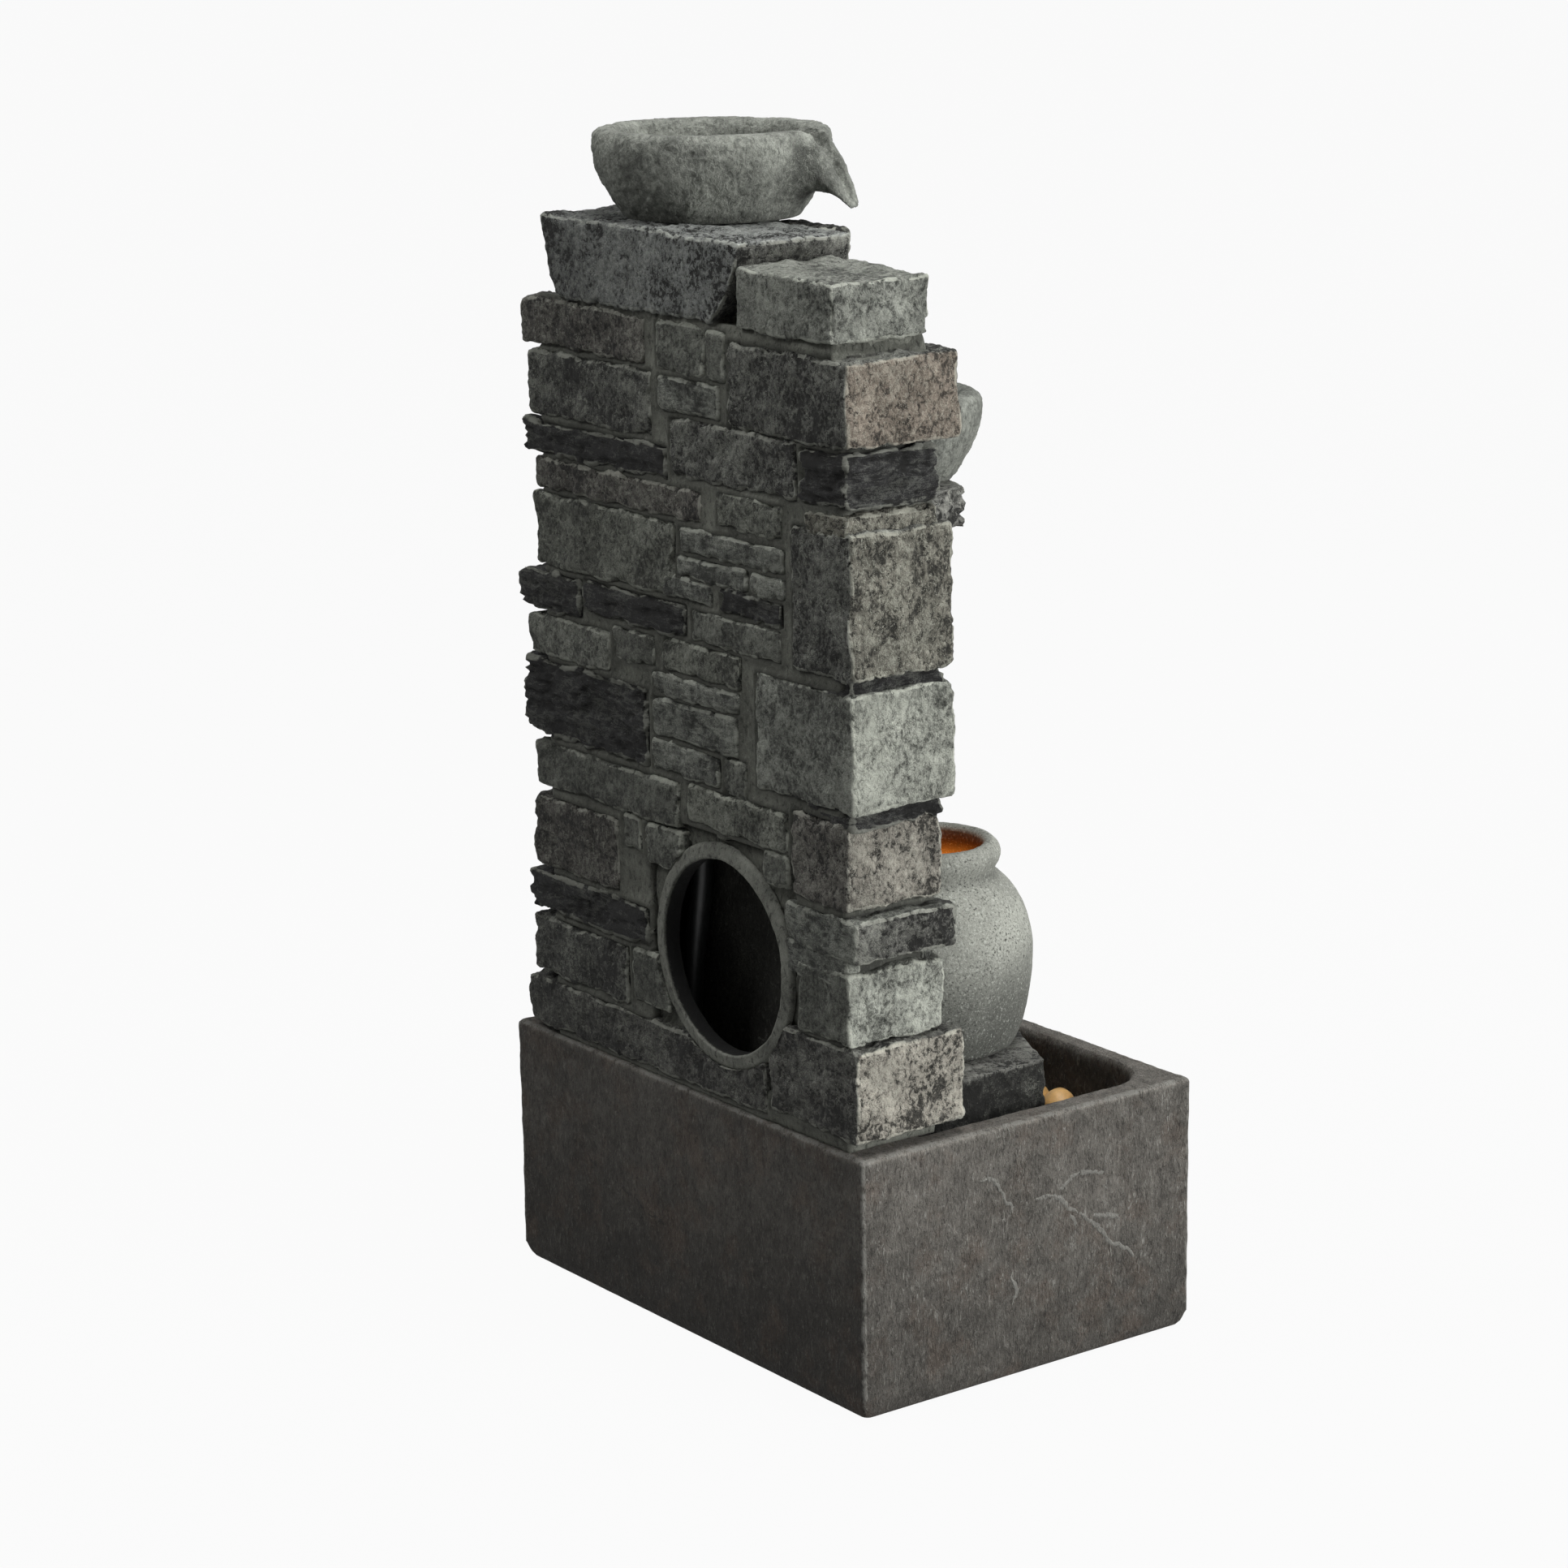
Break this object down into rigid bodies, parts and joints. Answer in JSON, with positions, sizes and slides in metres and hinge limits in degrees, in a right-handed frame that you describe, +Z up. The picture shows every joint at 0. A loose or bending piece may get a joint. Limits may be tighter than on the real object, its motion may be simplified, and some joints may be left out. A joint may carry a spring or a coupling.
{
  "type": "garden wall fountain",
  "caption": "Stacked-stone wall fountain with pouring bowls on one side, a lit pot in a rectangular pool, a hollow wall with a round service hole at the back and a pump in its sump.",
  "frame": {"origin": "centre of the basin's underside, on the ground", "axes": "+Z up the wall, -Y towards the pouring side with the bowls and pot, +Y towards the back with the round service hole, X along the wall"},
  "size_m": [0.418, 0.292, 0.845],
  "materials": {
    "base_casting": "matte, dry-brushed",
    "wall_stone": "matte, dry-brushed",
    "top_stone": "matte, dry-brushed",
    "bowl_stone": "matte, dry-brushed",
    "pot_stone": "matte, speckled",
    "plinth_stone": "matte",
    "pebble": "smooth",
    "pump_plastic": "satin",
    "dial_plastic": "satin",
    "core_steel": "oxidised",
    "coil_wire": "enamelled",
    "potting_resin": "gloss",
    "magnet": "satin",
    "shaft_ceramic": "polished",
    "seal_rubber": "matte",
    "hose_vinyl": "satin",
    "clamp_steel": "satin",
    "fitting_plastic": "satin",
    "lamp_case": "satin",
    "lamp_board": "satin",
    "lamp_diode": "gloss",
    "lamp_lens": "clear"
  },
  "bodies": {
    "fountain": {"basin": "base_casting", "sump_divider": "base_casting", "tower_shell": "wall_stone", "step_stone": "top_stone", "cap_stone": "top_stone", "middle_ledge": "wall_stone", "lower_ledge": "wall_stone", "top_bowl": "bowl_stone", "middle_bowl": "bowl_stone", "lower_bowl": "bowl_stone", "pot_plinth": "plinth_stone", "pot": "pot_stone", "river_pebbles": "pebble", "pump_housing": "pump_plastic", "suction_cups": "seal_rubber", "lamination_core": "core_steel", "stator_coil": "coil_wire", "potting_block": "potting_resin", "pump_cable_gland": "seal_rubber", "impeller_shaft": "shaft_ceramic", "shaft_bushes": "seal_rubber", "volute_cover": "pump_plastic", "riser_hose": "hose_vinyl", "hose_clamps": "clamp_steel", "hose_clips": "fitting_plastic", "bowl_inlet": "fitting_plastic", "inlet_gasket": "seal_rubber", "inlet_nut": "fitting_plastic", "lamp_housing": "lamp_case", "lamp_board": "lamp_board", "lamp_diodes": "lamp_diode", "lamp_lens": "lamp_lens", "lamp_bezel": "lamp_case", "lamp_cable_gland": "seal_rubber", "pot_grommet": "seal_rubber"},
    "rotor": {"rotor_magnet": "magnet", "impeller": "fitting_plastic"},
    "intake_cover": {"pump_cover": "pump_plastic"},
    "dial": {"flow_dial": "dial_plastic"}
  },
  "joints": [
    {"name": "impeller_spin", "type": "hinge", "parent": "fountain", "child": "rotor", "pos_m": [0.055, 0.108, 0.038], "axis": [1, 0, 0], "continuous": true},
    {"name": "intake_cover_slide", "type": "slide", "parent": "fountain", "child": "intake_cover", "axis": [-1, 0, 0], "range_m": [0, 0.025]},
    {"name": "flow_dial_turn", "type": "hinge", "parent": "intake_cover", "child": "dial", "pos_m": [0.008, 0.108, 0.038], "axis": [-1, 0, 0], "range_deg": [0, 45]}
  ]
}
